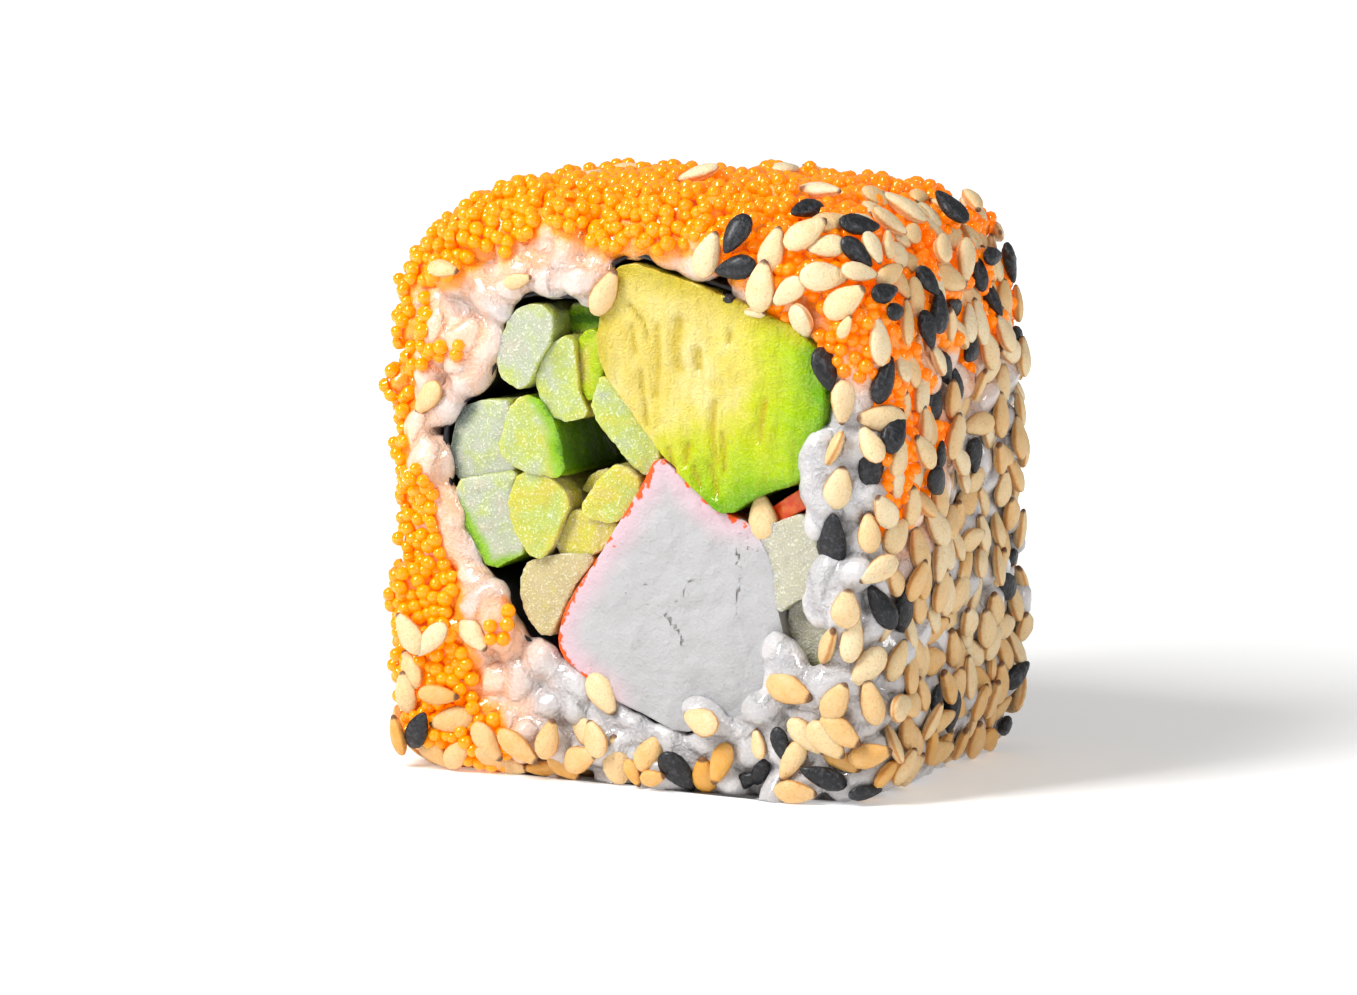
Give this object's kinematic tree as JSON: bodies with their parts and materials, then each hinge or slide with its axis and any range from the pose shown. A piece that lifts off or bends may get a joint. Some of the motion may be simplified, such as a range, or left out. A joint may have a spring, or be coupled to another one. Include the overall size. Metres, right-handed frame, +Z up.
{
  "type": "uramaki roll",
  "caption": "One cut piece of an inside-out sushi roll: rice ring coated with roe and sesame, lined with nori, filled with avocado, crab stick and cucumber.",
  "frame": {"origin": "on the surface that the piece stands on, under the middle of its box", "axes": "+Z up, front cut face towards -Y, so that the nori and the fillings run along Y"},
  "size_m": [0.0376, 0.0272, 0.0406],
  "materials": {
    "rice": "moist, slightly translucent pressed grains",
    "nori": "thin dark seaweed with a soft sheen",
    "avocado": "moist flesh, yellow turning green towards the skin side",
    "surimi": "white, fine-grained, moist",
    "surimi_skin": "red-orange coloured skin of the crab stick",
    "cucumber": "wet, pale green, translucent flesh with dark green skin",
    "roe": "glossy translucent orange eggs",
    "sesame_white": "toasted cream to golden seeds",
    "sesame_black": "charcoal seeds with a dull sheen"
  },
  "bodies": {
    "root": {"rice": "rice", "nori": "nori", "avocado": "avocado", "surimi": "surimi", "surimi_strip": "surimi_skin", "cucumber_01": "cucumber", "cucumber_02": "cucumber", "cucumber_03": "cucumber", "cucumber_04": "cucumber", "cucumber_05": "cucumber", "cucumber_06": "cucumber", "cucumber_07": "cucumber", "cucumber_08": "cucumber", "cucumber_09": "cucumber", "cucumber_10": "cucumber", "cucumber_11": "cucumber", "cucumber_12": "cucumber", "cucumber_13": "cucumber", "cucumber_14": "cucumber", "cucumber_15": "cucumber"}
  },
  "joints": []
}
